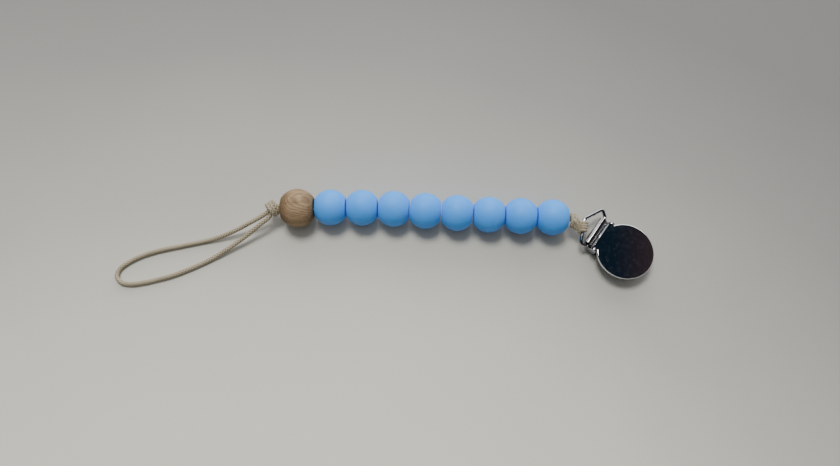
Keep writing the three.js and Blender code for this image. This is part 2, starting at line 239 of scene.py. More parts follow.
# ---- material helpers ----
class Nodes:
    """Short names for building one node tree."""

    def __init__(self, tree):
        self.tree = tree

    def add(self, kind, inputs=None, **settings):
        """A new node. settings are its own properties, inputs the values of its sockets."""
        node = self.tree.nodes.new(kind)
        for key, value in settings.items():
            setattr(node, key, value)
        for key, value in (inputs or {}).items():
            node.inputs[key].default_value = value
        return node

    def link(self, out, into):
        self.tree.links.new(out, into)

    def math(self, operation, *values):
        node = self.add("ShaderNodeMath", operation=operation)
        for socket, value in zip(node.inputs, values):
            if isinstance(value, (int, float)):
                socket.default_value = value
            else:
                self.link(value, socket)
        return node.outputs[0]

    def weigh(self, *terms):
        """The sum of (value, weight) terms."""
        total = None
        for value, weight in terms:
            part = self.math("MULTIPLY", value, weight)
            total = part if total is None else self.math("ADD", total, part)
        return total

    def centred(self, value):
        """A noise, moved to lie about 0."""
        return self.math("SUBTRACT", value, 0.5)

    def split(self, vector):
        """A vector's X, Y and Z."""
        node = self.add("ShaderNodeSeparateXYZ")
        self.link(vector, node.inputs["Vector"])
        return node.outputs["X"], node.outputs["Y"], node.outputs["Z"]

    def ramp(self, factor, stops, interpolation="LINEAR"):
        node = self.add("ShaderNodeValToRGB")
        node.color_ramp.interpolation = interpolation
        elements = node.color_ramp.elements
        while len(elements) < len(stops):
            elements.new(0.5)
        for element, (position, color) in zip(elements, stops):
            element.position = position
            element.color = (*color, 1)
        self.link(factor, node.inputs["Fac"])
        return node.outputs["Color"]

    def mix(self, kind, first, second, factor=1.0):
        node = self.add("ShaderNodeMix", {"Factor": factor}, data_type="RGBA", blend_type=kind)
        self.link(first, node.inputs["A"])
        self.link(second, node.inputs["B"])
        return node.outputs["Result"]

    def remap(self, factor, low, high, from_low=0.0, from_high=1.0):
        """The factor's range from_low to from_high turned into low to high."""
        node = self.add("ShaderNodeMapRange", {"From Min": from_low, "From Max": from_high,
                                               "To Min": low, "To Max": high})
        self.link(factor, node.inputs["Value"])
        return node.outputs["Result"]

    def map(self, vector, scale=(1, 1, 1), rotation=(0, 0, 0), location=(0, 0, 0)):
        node = self.add("ShaderNodeMapping", {"Scale": scale, "Rotation": rotation, "Location": location})
        self.link(vector, node.inputs["Vector"])
        return node.outputs["Vector"]

    def place(self, **changes):
        """Object coordinates in metres, moved, turned and scaled."""
        return self.map(self.add("ShaderNodeTexCoord").outputs["Object"], **changes)

    def noise(self, vector, scale, detail=3.0, roughness=0.5):
        node = self.add("ShaderNodeTexNoise", {"Scale": scale, "Detail": detail, "Roughness": roughness})
        self.link(vector, node.inputs["Vector"])
        return node.outputs["Fac"]

    def bump(self, height, distance, strength, after=None):
        node = self.add("ShaderNodeBump", {"Distance": distance, "Strength": strength})
        self.link(height, node.inputs["Height"])
        if after is not None:
            self.link(after, node.inputs["Normal"])
        return node.outputs["Normal"]


class Surface(Nodes):
    """One Principled material."""

    def __init__(self, name):
        self.material = bpy.data.materials.new(name)
        self.material.use_nodes = True
        super().__init__(self.material.node_tree)
        self.shader = self.tree.nodes["Principled BSDF"]

    def drive(self, socket, source):
        """Links a node's output to one of the shader's sockets."""
        self.link(source, self.shader.inputs[socket])

    def set(self, **settings):
        """Sets the shader's own sockets. An underscore stands for the space in a socket's name."""
        for key, value in settings.items():
            self.shader.inputs[key.replace("_", " ")].default_value = value


def linear(*color):
    """Scene-linear colour of an 8-bit sRGB colour."""
    def channel(number):
        share = number / 255
        return share / 12.92 if share <= 0.04045 else ((share + 0.055) / 1.055) ** 2.4
    return tuple(channel(number) for number in color)


def paint(thing, material):
    thing.data.materials.clear()
    thing.data.materials.append(material)


# ---- materials ----
def make_cord_material():
    """Waxed cotton braid: pale strand tops, painted shade in the valleys between strands, a soft waxy shine,
    fine fibres.
    """
    cord = Surface("waxed_cotton")
    height = cord.add("ShaderNodeAttribute", attribute_name="braid").outputs["Fac"]
    uv = cord.add("ShaderNodeTexCoord").outputs["UV"]
    fibre = cord.noise(cord.map(uv, scale=(1.2, 60, 1)), 1.5, detail=3, roughness=0.6)
    cloud = cord.noise(cord.place(), 260, detail=3, roughness=0.55)
    shade = cord.weigh((height, 0.62), (fibre, 0.28), (cord.centred(cloud), 0.22))
    # painted shade: the colour is darkest where the braid's relief is low, in the valleys between the
    # strands
    cord.drive("Base Color", cord.ramp(shade, [
        (0.1, linear(60, 49, 34)), (0.36, linear(128, 114, 89)),
        (0.62, linear(175, 163, 138)), (0.9, linear(212, 203, 182)),
    ]))
    cord.drive("Roughness", cord.remap(fibre, 0.5, 0.72))
    cord.drive("Normal", cord.bump(fibre, distance=0.00006, strength=0.7))
    cord.set(Sheen_Weight=0.12, Sheen_Roughness=0.5, Coat_Weight=0.18, Coat_Roughness=0.38)
    return cord.material


def make_silicone_material():
    """Matt food-grade silicone: even colour, powdery bloom, very fine moulded grain."""
    rubber = Surface("blue_silicone")
    cloud = rubber.noise(rubber.place(), 160, detail=2)
    rubber.drive("Base Color", rubber.ramp(cloud, [(0.3, (0.067, 0.352, 0.97)), (0.7, (0.077, 0.372, 1.0))]))
    grain = rubber.noise(rubber.place(), 5200, detail=2)
    rubber.drive("Roughness", rubber.remap(grain, 0.46, 0.6))
    rubber.drive("Normal", rubber.bump(grain, distance=0.000012, strength=0.6))
    rubber.set(Sheen_Weight=0.02, Sheen_Roughness=0.5, Sheen_Tint=(0.78, 0.88, 1, 1),
               Subsurface_Weight=0.1, Subsurface_Scale=0.002, Subsurface_Radius=(0.5, 0.8, 1.0),
               Specular_IOR_Level=0.24)
    return rubber.material


# the wood's growth rings, in metres from the bead's centre
ring_spacing = 0.00062
ring_curve = 62.5
ring_bend_start = -0.001
ring_tilt = 0.12
ring_warp = 0.0012
# the bead darkens between these two distances from a place a little right of its centre
end_middle = 0.0009
end_grain_and_shade_span = (0.0025, 0.0072)


def make_wood_material(centre):
    """Bare beech: growth rings that cut the ball in arcs on its left and in streaks on its right."""
    beech = Surface("beech")
    x, y, z = beech.split(beech.place(location=tuple(-number for number in centre)))
    warp = beech.noise(beech.place(scale=(0.5, 1, 1)), 150, detail=2)
    # ring surfaces lie flat on the left and follow the ball's curve along X on the right
    right = beech.math("MAXIMUM", beech.math("SUBTRACT", x, ring_bend_start), 0.0)
    bend = beech.weigh((beech.math("MULTIPLY", right, right), ring_curve), (y, ring_tilt),
                       (beech.centred(warp), ring_warp))
    depth = beech.math("ADD", z, bend)
    wave = beech.math("SINE", beech.math("MULTIPLY", depth, 2 * math.pi / ring_spacing))
    growth = beech.remap(wave, 0.0, 1.0, from_low=-1.0)
    broad = beech.noise(beech.place(scale=(0.06, 1, 1)), 520, detail=2)
    fibre = beech.noise(beech.place(scale=(0.05, 1, 1)), 2600, detail=3, roughness=0.6)
    fleck = beech.noise(beech.place(scale=(0.1, 1, 1)), 1900, detail=2, roughness=0.4)
    color = beech.ramp(beech.weigh((growth, 0.16), (fibre, 0.45), (broad, 0.4)), [
        (0.3, linear(112, 86, 61)), (0.52, linear(150, 126, 96)), (0.75, linear(176, 153, 121)),
    ])
    flecks = beech.ramp(fleck, [(0.30, linear(150, 118, 88)), (0.37, (1, 1, 1))])
    color = beech.mix("MULTIPLY", color, flecks, factor=0.45)
    # the end grain round the hole is darker, and the darkening towards both ends is also painted shade on
    # the ball's sides
    reach = beech.math("ABSOLUTE", beech.math("SUBTRACT", x, end_middle))
    ends = beech.ramp(beech.remap(reach, 0.0, 1.0, *end_grain_and_shade_span), [(0.0, (1, 1, 1)), (1.0, (0.56, 0.52, 0.48))],
                      "EASE")
    beech.drive("Base Color", beech.mix("MULTIPLY", color, ends))
    beech.drive("Roughness", beech.remap(fibre, 0.55, 0.75))
    fibres = beech.bump(fibre, distance=0.00003, strength=0.4)
    beech.drive("Normal", beech.bump(growth, distance=0.00001, strength=0.25, after=fibres))
    beech.set(Specular_IOR_Level=0.3)
    return beech.material


def make_metal_material(name, color, smooth, dull, scratch=0.2, smudge=0.5, haze=0.01):
    """Plated metal: hairline scratches, smudges, a slight ripple. Roughness runs from smooth to dull."""
    metal = Surface(name)
    first_way = metal.place(scale=(0.04, 1, 1), rotation=(0, 0, rad(24)))
    other_way = metal.place(scale=(1, 0.05, 1), rotation=(0, 0, rad(-37)))
    first = metal.remap(metal.noise(first_way, 9000, detail=2, roughness=0.6), 0, 0.5, 0.6, 0.85)
    other = metal.remap(metal.noise(other_way, 8000, detail=2, roughness=0.6), 0, 0.5, 0.62, 0.87)
    cloud = metal.noise(metal.place(), 420, detail=4, roughness=0.6)
    marks = metal.weigh((metal.math("ADD", first, other), scratch), (cloud, smudge))
    metal.drive("Roughness", metal.remap(marks, smooth, dull))
    darker = tuple(0.93 * number for number in color)
    metal.drive("Base Color", metal.ramp(cloud, [(0.3, darker), (0.7, color)]))
    ripple = metal.noise(metal.place(), 160, detail=2)
    metal.drive("Normal", metal.bump(ripple, distance=0.00002, strength=0.1))
    # a faint haze of fingerprints
    prints = metal.noise(metal.place(), 650, detail=5, roughness=0.65)
    metal.drive("Metallic", metal.remap(prints, 1.0 + haze, 1.0 - haze))
    return metal.material


def make_plastic_material():
    """White moulded grip plastic: a faint satin texture."""
    plastic = Surface("grip_plastic")
    cloud = plastic.noise(plastic.place(), 300, detail=2)
    white = plastic.ramp(cloud, [(0.3, linear(222, 221, 214)), (0.7, linear(232, 231, 225))])
    plastic.drive("Base Color", white)
    grain = plastic.noise(plastic.place(), 7000, detail=2)
    plastic.drive("Roughness", plastic.remap(grain, 0.4, 0.52))
    plastic.drive("Normal", plastic.bump(grain, distance=0.00001, strength=0.5))
    plastic.set(Subsurface_Weight=0.05, Subsurface_Scale=0.001)
    return plastic.material


cotton = make_cord_material()
silicone = make_silicone_material()
# painted shade: the bail's, body's and pin's chrome has a darker colour than the cover's, so that it mirrors
# the room darker
chrome = make_metal_material("shade_darkened_chrome", (0.48, 0.49, 0.51), smooth=0.05, dull=0.18)
cover_chrome = make_metal_material("mirror_chrome", (0.82, 0.84, 0.87), smooth=0.03, dull=0.12,
                                   scratch=0.15, smudge=0.45, haze=0.03)
spring_steel = make_metal_material("spring_steel", (0.50, 0.51, 0.52), smooth=0.26, dull=0.46, scratch=0.4)
grip_plastic = make_plastic_material()


# ---- cord pieces ----
def cord_object(name, tubes):
    """One painted piece of cord out of one or more braided tubes."""
    vertices, faces, uvs, heights = [], [], [], []
    for more_vertices, more_faces, more_uvs, more_heights in tubes:
        offset = len(vertices)
        vertices.extend(more_vertices)
        faces.extend([tuple(index + offset for index in face) for face in more_faces])
        uvs.extend(more_uvs)
        heights.extend(more_heights)
    piece = mesh_object(name, vertices, faces, uvs=uvs, braid=heights)
    paint(piece, cotton)
    return piece


# ---- the cord loop: its route repeats the CAD's ----
loop_route = [
    (-149.4, 16.3, 7.1), (-152.3, 14.6, 6.5), (-156.2, 12.8, 5.5), (-160.4, 10.9, 4.2), (-165, 9.1, 2.9),
    (-170, 7.5, 1.7), (-175.5, 6.2, 1.0), (-181, 5.0, 0.95), (-187, 3.7, 0.95), (-193, 2.4, 0.95),
    (-198.6, 0.8, 0.95), (-203.8, -1.4, 0.95), (-207.8, -3.9, 0.95), (-210.4, -6.7, 0.95),
    (-210.6, -9.8, 0.95), (-208.2, -12.0, 0.95), (-204.6, -12.6, 0.95), (-200.2, -12.1, 0.95),
    (-195, -10.9, 0.95), (-189.4, -9.4, 0.95), (-184, -7.4, 0.95), (-178.6, -5.0, 0.95),
    (-173.2, -2.3, 1.0), (-168.2, 0.6, 1.6), (-163.4, 3.6, 2.6), (-158.8, 6.6, 3.8), (-154.8, 9.5, 5.1),
    (-151.2, 12.1, 6.3), (-148.1, 14.5, 7.0),
]
# the loop's two ends run on into the knot
loop_start = [(-146.6, 18.3, 7.7), (-147.9, 17.5, 7.5)]
loop_end = [(-147.3, 15.9, 7.2), (-146.4, 17.3, 7.4)]
loop_step = 0.16
cord_radius = 0.95


def make_loop():
    line = catmull_rom(loop_start + loop_route + loop_end, loop_step)
    loop = cord_object("cord_loop", [braided_tube(line, cord_radius)])
    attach(loop, "loop")
    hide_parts("pacifier_loop")


make_loop()


# ---- the string of beads ----
bead_radius = 7.5
bead_pitch = 13.3
bead_gap = 0.4
bead_edge = 0.5
bead_ridge = 0.02
ridge_width = 0.09
bead_hole = 2.1
hole_edge = 0.25
# each end is a flat ring round the hole, and falls away outside the contact radius
bead_flat_inner = 2.41
bead_flat_outer = 2.75
bead_contact = 2.7
bead_relief = rad(4)
search_step = 0.005
bead_segments = 96
ball_points = 27
edge_points = 7
hole_points = 5
wood_radius = 8.0
wood_length = 14.2
wood_edge = 1.1
wood_aside = -0.4
string_end = Vector((-22.6, 14.2, bead_radius))
bead_leans = [-2.6, -2.6, -2.6, -3.9, -4.2, -3.5, -0.9, 0]
core_radius = 0.85
core_step = 0.3


def bead_profile(radius, half, edge, ridge):
    """Half section of a ball with flat ends and a hole, all edges rounded: (radius, height) points."""
    def face(reach):
        return half - max(0.0, reach - bead_contact) * math.tan(bead_relief)

    # the end's face and the ball would meet in this sharp rim
    rim = bead_contact
    while math.hypot(rim, face(rim)) < radius:
        rim += 2 * search_step
    # the rounded edge swaps the rim for an arc that touches face and ball
    centre_reach = rim
    while math.hypot(centre_reach, face(centre_reach) - edge) > radius - edge:
        centre_reach -= search_step
    centre_height = face(centre_reach) - edge
    ball_angle = math.atan2(centre_height, centre_reach)
    upper = []
    for angle in np.linspace(0, ball_angle, ball_points):
        reach = radius + ridge * math.exp(-((radius * angle) / ridge_width) ** 2)
        upper.append((reach * math.cos(angle), reach * math.sin(angle)))
    for angle in np.linspace(ball_angle, math.pi / 2, edge_points)[1:]:
        upper.append((centre_reach + edge * math.cos(angle), centre_height + edge * math.sin(angle)))
    upper += [(bead_flat_outer, half), (bead_flat_inner, half)]
    for angle in np.linspace(math.pi / 2, math.pi, hole_points):
        upper.append((bead_hole + hole_edge + hole_edge * math.cos(angle),
                      half - hole_edge + hole_edge * math.sin(angle)))
    upper.append((bead_hole, half / 2))
    lower = [(reach, -height) for reach, height in reversed(upper)]
    return lower[:-1] + upper + [lower[0]]


def make_bead(name, radius, length, edge, centre, lean, ridge=0.0):
    vertices, faces = lathe(bead_profile(radius, length / 2, edge, ridge), bead_segments)
    # the profile's last row is its first again
    last = len(vertices) - bead_segments
    faces = [tuple(index - last if index >= last else index for index in face) for face in faces]
    turn = Matrix.Rotation(lean, 3, "Z") @ Matrix.Rotation(math.pi / 2, 3, "Y")
    moved = [tuple(turn @ Vector(point) + centre) for point in vertices[:last]]
    return mesh_object(name, moved, faces)


def make_core(name, centre, lean, length, body, node):
    """The doubled cord inside one bead."""
    along = Vector((math.cos(lean), math.sin(lean), 0)) * (length / 2)
    across = Vector((-math.sin(lean), math.cos(lean), 0)) * core_radius
    tubes = []
    for middle in (centre - across, centre + across):
        line = resample(np.array([middle - along, middle + along], float), core_step)
        tubes.append(braided_tube(line, core_radius, sides=24))
    core = cord_object(name, tubes)
    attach(core, body)
    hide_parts(node)


def make_string():
    joint = string_end
    length = bead_pitch - bead_gap
    for i, degrees in enumerate(bead_leans):
        lean = rad(degrees)
        number = len(bead_leans) - i
        along = Vector((-math.cos(lean), -math.sin(lean), 0))
        centre = joint + along * (bead_pitch / 2)
        bead = make_bead(f"bead_{number}", bead_radius, length, bead_edge, centre, lean, bead_ridge)
        paint(bead, silicone)
        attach(bead, f"bead_{number}")
        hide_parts(f"silicone_bead_{number}")
        make_core(f"bead_cord_{number}", centre, lean, length, f"cord_{number}", f"cord_core_{number}")
        joint = joint + along * bead_pitch
    length = wood_length - bead_gap
    centre = Vector((joint.x - wood_length / 2, joint.y + wood_aside, wood_radius))
    wood = make_bead("wooden_bead", wood_radius, length, wood_edge, centre, 0)
    paint(wood, make_wood_material(centre * MM))
    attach(wood, "bead_wood")
    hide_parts("wood_bead")
    make_core("bead_cord_wood", centre, 0, length, "cord_wood", "cord_core_wood")


make_string()


# ---- knots ----
knot_step = 0.2
knot_sides = 32
strand_taper = 0.6
turn_points = 40


def winding(centre, axis, first, radii, turns, advance, phase):
    """A coil of turns round axis, advancing along it; radii are its reach along first and across it."""
    axis = Vector(axis).normalized()
    first = (Vector(first) - axis * Vector(first).dot(axis)).normalized()
    second = axis.cross(first)
    points = []
    for share in np.linspace(0, 1, turns * turn_points + 1):
        angle = 2 * math.pi * turns * share + phase
        ahead = axis * (advance * (share - 0.5))
        aside = first * (radii[0] * math.cos(angle)) + second * (radii[1] * math.sin(angle))
        points.append(tuple(Vector(centre) + ahead + aside))
    return resample(np.array(points), knot_step)


def knot_object(name, strands, core, body, node):
    """A knot of (line, radius) strands round a core: a centre, an axis, a half length and a radius."""
    tubes = [braided_tube(line, radius, knot_sides, strand_taper) for line, radius in strands]
    centre, axis, half, radius = core
    along = Vector(axis).normalized() * half
    ends = np.array([tuple(Vector(centre) - along), tuple(Vector(centre) + along)])
    tubes.append(braided_tube(resample(ends, knot_step), radius, knot_sides, taper=radius))
    knot = cord_object(name, tubes)
    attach(knot, body)
    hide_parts(node)


def make_loop_knot():
    """Slanting turns close together, and the cord's two strands running on to the wooden bead."""
    centre = (-146.2, 18.5, 7.6)
    axis = (0.84, 0.52, 0.05)
    turns = winding(centre, axis, (0, 0, 1), radii=(2.2, 2.7), turns=3, advance=4.0, phase=math.pi)
    upper = catmull_rom([(-142.7, 19.0, 8.1), (-143.8, 19.4, 8.1), (-145.6, 19.0, 7.9), (-146.8, 18.4, 7.7)],
                        knot_step)
    lower = catmull_rom([(-142.7, 18.1, 7.6), (-144.0, 17.9, 7.4), (-145.4, 17.6, 7.4), (-146.6, 17.4, 7.3)],
                        knot_step)
    strands = [(turns, 0.86), (upper, core_radius), (lower, core_radius)]
    knot_object("loop_knot_turns", strands, (centre, axis, 2.1, 1.8), "cord_wood", "loop_knot")


make_loop_knot()


# ---- the clip's own frame: +X from its curl to its round cover, turned in the row frame ----
clip_lean = rad(-36.5)
clip_turn = Matrix.Rotation(clip_lean, 3, "Z")
# the pressed body stands a little aside of the cover's middle
body_offset = 0.3
curl_x = -14.2
curl_z = 4.9


def from_clip(x, y, z):
    return clip_turn @ Vector((x, y, z))


# ---- the wire bail ----
wire_radius = 0.75
bail_tilt = rad(14)
bail_apex = (-7.1, 2)
bail_wing = (-2.3, -7.6)
bail_corners = [(0, 8.4), (-3, 10.7), bail_apex, bail_wing, (0, -6.9)]
# how far from each corner the wire starts to bend
bail_reaches = [0.9, 1.4, 1.4, 1.1, 0.9]
# where the wire's two ends meet inside the curl
wire_ends = (1.2, 0.2)
wire_step = 0.5
bend_points = 12
# how far down the lower arm the middle of the cord's turns is
turns_on_arm = 3.55


def from_bail(x, y):
    """A point of the bail's own plane: x away from the curl, y along it."""
    return from_clip(curl_x + x * math.cos(bail_tilt), y, curl_z - x * math.sin(bail_tilt))


def make_bail():
    corners = [Vector((x, y)) for x, y in [(0, wire_ends[0]), *bail_corners, (0, wire_ends[1])]]
    flat = []
    start = corners[0]
    for before, corner, after, reach in zip(corners, corners[1:], corners[2:], bail_reaches):
        bend_start = corner + (before - corner).normalized() * reach
        bend_end = corner + (after - corner).normalized() * reach
        pieces = max(2, int((bend_start - start).length / wire_step))
        flat += [start.lerp(bend_start, i / pieces) for i in range(pieces)]
        for i in range(bend_points):
            share = i / bend_points
            flat.append(bend_start.lerp(corner, share).lerp(corner.lerp(bend_end, share), share))
        start = bend_end
    pieces = max(2, int((corners[-1] - start).length / wire_step))
    flat += [start.lerp(corners[-1], i / pieces) for i in range(pieces + 1)]
    line = np.array([tuple(from_bail(*point)) for point in flat])
    vertices, faces = plain_tube(line, wire_radius, sides=28)
    bail = mesh_object("wire_bail", vertices, faces)
    paint(bail, chrome)
    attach(bail, "bail")
    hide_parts("bail")


make_bail()


def make_bail_knot():
    """Turns round the middle of the bail's lower arm, a knot beside them, and two strands across both."""
    apex = from_bail(*bail_apex)
    arm = (from_bail(*bail_wing) - apex).normalized()
    on_wire = winding(apex + arm * turns_on_arm, arm, (0, 0, 1), radii=(1.42, 1.42), turns=4, advance=4.4,
                      phase=math.pi)
    beside = winding((-20.45, 13.2, 6.9), (0.97, -0.22, 0), (0, 1, 0), radii=(2.5, 1.8), turns=2,
                     advance=2.8, phase=-math.pi / 2)
    upper = catmull_rom([(-21.9, 15.0, 7.4), (-20.4, 14.4, 8.6), (-18.9, 12.6, 8.7), (-17.7, 10.4, 7.8),
                         (-17.3, 8.6, 6.4)], knot_step)
    lower = catmull_rom([(-21.9, 13.4, 8.2), (-20.5, 12.5, 8.9), (-19.2, 10.8, 8.4), (-18.4, 9.0, 6.9),
                         (-18.0, 8.2, 5.4)], knot_step)
    strands = [(on_wire, 0.66), (beside, 0.8), (upper, 0.78), (lower, 0.78)]
    core = ((-19.8, 12.3, 6.8), (0.3, -0.95, 0), 3.4, 1.7)
    knot_object("bail_knot_turns", strands, core, "bail_cord", "bail_knot")


make_bail_knot()


# ---- sheet-metal helpers, in the clip's frame ----
def arc(centre_x, centre_y, radius, start, end, steps):
    """Points of an arc, angles in degrees."""
    angles = [rad(angle) for angle in np.linspace(start, end, steps + 1)]
    return [(centre_x + radius * math.cos(angle), centre_y + radius * math.sin(angle)) for angle in angles]


def prism(outline, low, high, plane):
    """An outline given thickness: plane XZ spans Y from low to high, plane XY spans Z."""
    count = len(outline)
    if plane == "XZ":
        vertices = [(x, level, z) for level in (low, high) for x, z in outline]
    else:
        vertices = [(x, y, level) for level in (low, high) for x, y in outline]
    faces = [tuple(range(count)), tuple(range(2 * count - 1, count - 1, -1))]
    for here in range(count):
        after = (here + 1) % count
        faces.append((here, after, count + after, count + here))
    return vertices, faces


def block(x_low, x_high, y_low, y_high, z_low, z_high):
    corners = [(x_low, y_low), (x_high, y_low), (x_high, y_high), (x_low, y_high)]
    return prism(corners, z_low, z_high, "XY")


def rod(radius, x, z, y_low, y_high, sides=32):
    return prism(arc(x, z, radius, 0, 360, sides)[:-1], y_low, y_high, "XZ")


def loose(shape):
    """A mesh object for a Boolean, with its faces turned outwards."""
    thing = mesh_object("tool", *shape, smooth=False)
    work = bmesh.new()
    work.from_mesh(thing.data)
    bmesh.ops.recalc_face_normals(work, faces=work.faces)
    work.to_mesh(thing.data)
    work.free()
    return thing


def apply_modifiers(thing):
    graph = bpy.context.evaluated_depsgraph_get()
    mesh = bpy.data.meshes.new_from_object(thing.evaluated_get(graph))
    thing.modifiers.clear()
    old = thing.data
    thing.data = mesh
    bpy.data.meshes.remove(old)


def combine(first, steps):
    """Adds and cuts shapes in turn; steps are (UNION or DIFFERENCE, shape)."""
    base = loose(first)
    for operation, shape in steps:
        tool = loose(shape)
        modifier = base.modifiers.new("combine", "BOOLEAN")
        modifier.operation = operation
        modifier.solver = "EXACT"
        modifier.object = tool
        apply_modifiers(base)
        bpy.data.objects.remove(tool)
    return base


# edges sharper than the first angle are bevelled, and edges sharper than the second stay crisp
bevel_angle = rad(28)
crisp_angle = rad(32)


def finish_metal(thing, name, material, body, node, bevel, shift=0.0):
    """Rounds the edges, turns the piece into the row frame and hangs it on its body."""
    thing.name = name
    thing.data.name = name
    modifier = thing.modifiers.new("edge", "BEVEL")
    modifier.width = bevel * MM
    modifier.segments = 2
    modifier.limit_method = "ANGLE"
    modifier.angle_limit = bevel_angle
    modifier.use_clamp_overlap = True
    apply_modifiers(thing)
    thing.data.transform(Matrix.Translation((0, shift * MM, 0)))
    thing.data.transform(clip_turn.to_4x4())
    thing.data.polygons.foreach_set("use_smooth", [True] * len(thing.data.polygons))
    thing.data.set_sharp_from_angle(angle=crisp_angle)
    flat = thing.modifiers.new("flat", "WEIGHTED_NORMAL")
    flat.keep_sharp = True
    flat.weight = 100
    apply_modifiers(thing)
    paint(thing, material)
    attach(thing, body)
    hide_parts(node)


# ---- the clip ----
# how far a cutting tool stands out past what it cuts, and the reach of one that cuts right across
beyond = 1
right_across = 10
# a cut that stops this much short of a face leaves the face whole
sliver = 0.001

cover_radius = 11.8
cover_top = 7.0
cover_sheet = 0.7
cover_skirt = 1.5
cover_fillet = 0.5
cover_inner_fillet = 0.4
cover_inner_bend = 0.12
cover_flat = cover_radius - 2.5
# the skirt is cut away where the neck and the body's ears pass it
skirt_gap_front = -7.5
skirt_gap_half = 7.6
neck_half = 6.1
neck_front = -9
neck_rear = -11.9
neck_chamfer = 0.35
notch_front = -9.45
notch_width = 3
# the two flanges reach into the cover's sheet from below
flange_sink = 0.2
flange_sheet = 0.6
flange_inset = 0.1
flange_rear = neck_rear + 0.5
flange_front = -8.9
flange_front_low = 5.2
flange_foot_front = -9.4
cam_radius = 1.5
cam_offset = 0.1
pin_x = -10.6
pin_z = 5.5
pin_radius = 0.5
pin_hole = 0.75
pin_head = 1.1
pin_head_gap = 0.1
pin_head_height = 0.5
plate_sheet = 0.7
plate_front = 8.6
plate_rear = -12.4
plate_half = 6.0
plate_corner = 3
# the plate widens from its waist to the ears
waist_rear = -7.4
ear_front = -9.4
ear_inner = 6.6
ear_sheet = 0.6
ear_outer = ear_inner + ear_sheet
ear_radius = 1.2
ear_rear = plate_rear - 0.9
ear_height = 3
jaw_hinge = (-12.1, 2.5)
jaw_half = 5.4
jaw_rear_half = 6
jaw_low = 3.0
jaw_high = 3.9
jaw_sheet = 0.6
# the jaw steps up from low to high between these
jaw_start = -8.4
jaw_end = -6.6
jaw_tip = 8.2
# a square stood on its corner cuts each corner of the tip off at 45 degrees
tip_cut_middle = (jaw_tip + 2.4, 7.8)
tip_cut_reach = 4
# how far the upper side's bends are behind the lower side's
jaw_bend = 0.2
jaw_tube = 0.7
lug_radius = 0.5
lug_clearance = 0.3
lug_overlap = 0.2
curl_outer = 1.85
curl_sheet = 0.55
curl_half = 6.3
curl_aside = 0.25
curl_angles = (-20, 230)
# how far the curl's sheet runs on along the plate
curl_foot = 1
curl_foot_inner = 0.2
pad_half = 4.8
pad_gap = 0.3
pad_ribs = 5
pad_rib_height = 0.3


def make_cover():
    under = cover_top - cover_sheet
    bottom = cover_top - cover_skirt
    inner = cover_radius - cover_sheet
    dish = [(0, under), (inner - cover_inner_fillet, under),
            (inner - cover_inner_bend, under - cover_inner_bend), (inner, under - cover_inner_fillet),
            (inner, bottom), (cover_radius, bottom)]
    dish += arc(cover_radius - cover_fillet, cover_top - cover_fillet, cover_fillet, 0, 90, 9)
    dish += [(cover_flat, cover_top), (0, cover_top)]
    chamfer_low = cover_top - neck_chamfer
    chamfer_front = neck_rear + neck_chamfer
    neck = [(neck_rear, under), (neck_front, under), (neck_front, cover_top), (chamfer_front, cover_top),
            (neck_rear, chamfer_low)]
    # the chamfer runs straight across the neck and trims the round rim behind it
    rim = [(neck_rear, chamfer_low), (chamfer_front, cover_top), (chamfer_front, cover_top + beyond),
           (neck_rear - beyond, cover_top + beyond), (neck_rear - beyond, chamfer_low)]
    cam_x = pin_x + cam_offset
    cam_z = pin_z - cam_offset
    flange = [(flange_front, under + flange_sink), (flange_rear, under + flange_sink)]
    flange += arc(cam_x, cam_z, cam_radius, 180, 270, 12)
    flange += [(flange_foot_front, cam_z - cam_radius), (flange_front, flange_front_low)]
    flange_high = neck_half - flange_inset
    flange_low = flange_high - flange_sheet
    skirt_gap = block(-cover_radius - beyond, skirt_gap_front, -skirt_gap_half, skirt_gap_half,
                      bottom - beyond, under - sliver)
    notch = (neck_rear - beyond, notch_front)
    notch_heights = (bottom - beyond, cover_top + beyond)
    cover = combine(lathe(dish, 192), [
        ("DIFFERENCE", skirt_gap),
        ("UNION", prism(neck, -neck_half, neck_half, "XZ")),
        ("UNION", prism(flange, flange_low, flange_high, "XZ")),
        ("UNION", prism(flange, -flange_high, -flange_low, "XZ")),
        ("DIFFERENCE", block(*notch, neck_half, neck_half + notch_width, *notch_heights)),
        ("DIFFERENCE", block(*notch, -neck_half - notch_width, -neck_half, *notch_heights)),
        ("DIFFERENCE", prism(rim, -neck_half - beyond, neck_half + beyond, "XZ")),
        ("DIFFERENCE", rod(pin_hole, pin_x, pin_z, -right_across, right_across)),
    ])
    finish_metal(cover, "round_cover", cover_chrome, "lever", "cover_lever", bevel=0.1)


